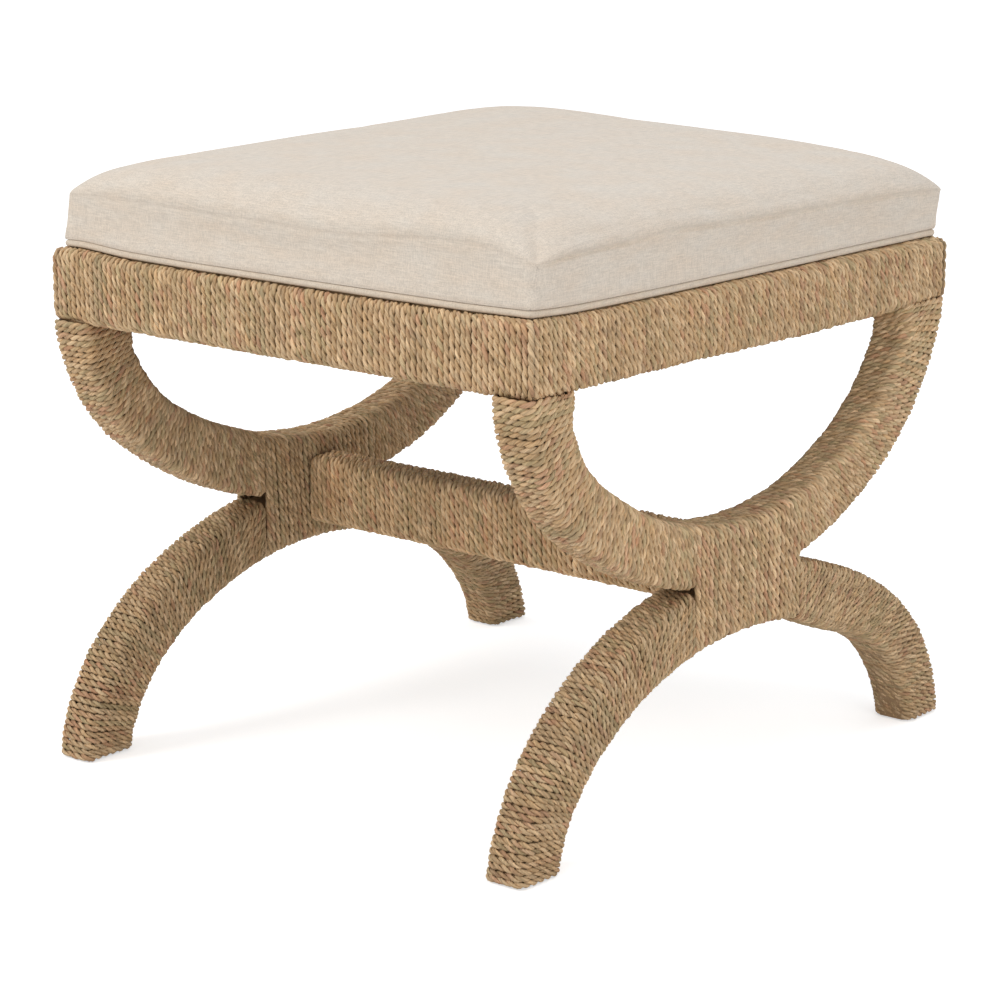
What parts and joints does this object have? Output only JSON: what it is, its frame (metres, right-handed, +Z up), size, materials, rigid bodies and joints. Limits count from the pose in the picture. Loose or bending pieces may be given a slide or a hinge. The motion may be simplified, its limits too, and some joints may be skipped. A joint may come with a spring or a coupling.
{
  "type": "x frame stool",
  "caption": "Backless stool: a boxed linen cushion on a seat frame carried by curved X frames, all members wound with seagrass rope and joined by a stretcher.",
  "frame": {"origin": "on the floor below the centre of the seat", "axes": "+Z up, +X along the stretcher towards the right X frame, -Y towards the front rail"},
  "size_m": [0.501, 0.5712, 0.5],
  "materials": {
    "linen": "matte woven linen",
    "welt": "matte woven linen",
    "foam": "open-cell foam",
    "plywood": "unfinished plywood",
    "cambric": "black non-woven cambric",
    "seagrass": "dry two-ply seagrass cord",
    "binding": "dry two-ply seagrass cord",
    "hardwood": "plain sanded hardwood",
    "beech": "plain beech dowel",
    "zinc": "zinc plated",
    "nylon": "satin nylon"
  },
  "bodies": {
    "root": {"seat_cover": "linen", "seat_welt": "welt", "seat_foam": "foam", "seat_board": "plywood", "dust_cover": "cambric", "rail_front": "hardwood", "rail_wrap_front": "seagrass", "rail_right": "hardwood", "rail_wrap_right": "seagrass", "rail_back": "hardwood", "rail_wrap_back": "seagrass", "rail_left": "hardwood", "rail_wrap_left": "seagrass", "corner_block_back_right": "hardwood", "block_screw_back_right_a": "zinc", "block_screw_back_right_b": "zinc", "seat_screw_back_right": "zinc", "arm_dowel_back_right": "beech", "corner_block_back_left": "hardwood", "block_screw_back_left_a": "zinc", "block_screw_back_left_b": "zinc", "seat_screw_back_left": "zinc", "arm_dowel_back_left": "beech", "corner_block_front_left": "hardwood", "block_screw_front_left_a": "zinc", "block_screw_front_left_b": "zinc", "seat_screw_front_left": "zinc", "arm_dowel_front_left": "beech", "corner_block_front_right": "hardwood", "block_screw_front_right_a": "zinc", "block_screw_front_right_b": "zinc", "seat_screw_front_right": "zinc", "arm_dowel_front_right": "beech", "upper_arc_right": "hardwood", "lower_arc_right": "hardwood", "hub_binding_right": "binding", "stretcher_screw_right": "zinc", "arm_wrap_right_front": "seagrass", "leg_wrap_right_front": "seagrass", "hub_dowel_right_front": "beech", "glide_right_front": "nylon", "arm_wrap_right_back": "seagrass", "leg_wrap_right_back": "seagrass", "hub_dowel_right_back": "beech", "glide_right_back": "nylon", "upper_arc_left": "hardwood", "lower_arc_left": "hardwood", "hub_binding_left": "binding", "stretcher_screw_left": "zinc", "arm_wrap_left_front": "seagrass", "leg_wrap_left_front": "seagrass", "hub_dowel_left_front": "beech", "glide_left_front": "nylon", "arm_wrap_left_back": "seagrass", "leg_wrap_left_back": "seagrass", "hub_dowel_left_back": "beech", "glide_left_back": "nylon", "stretcher": "hardwood", "stretcher_wrap": "seagrass"}
  },
  "joints": []
}
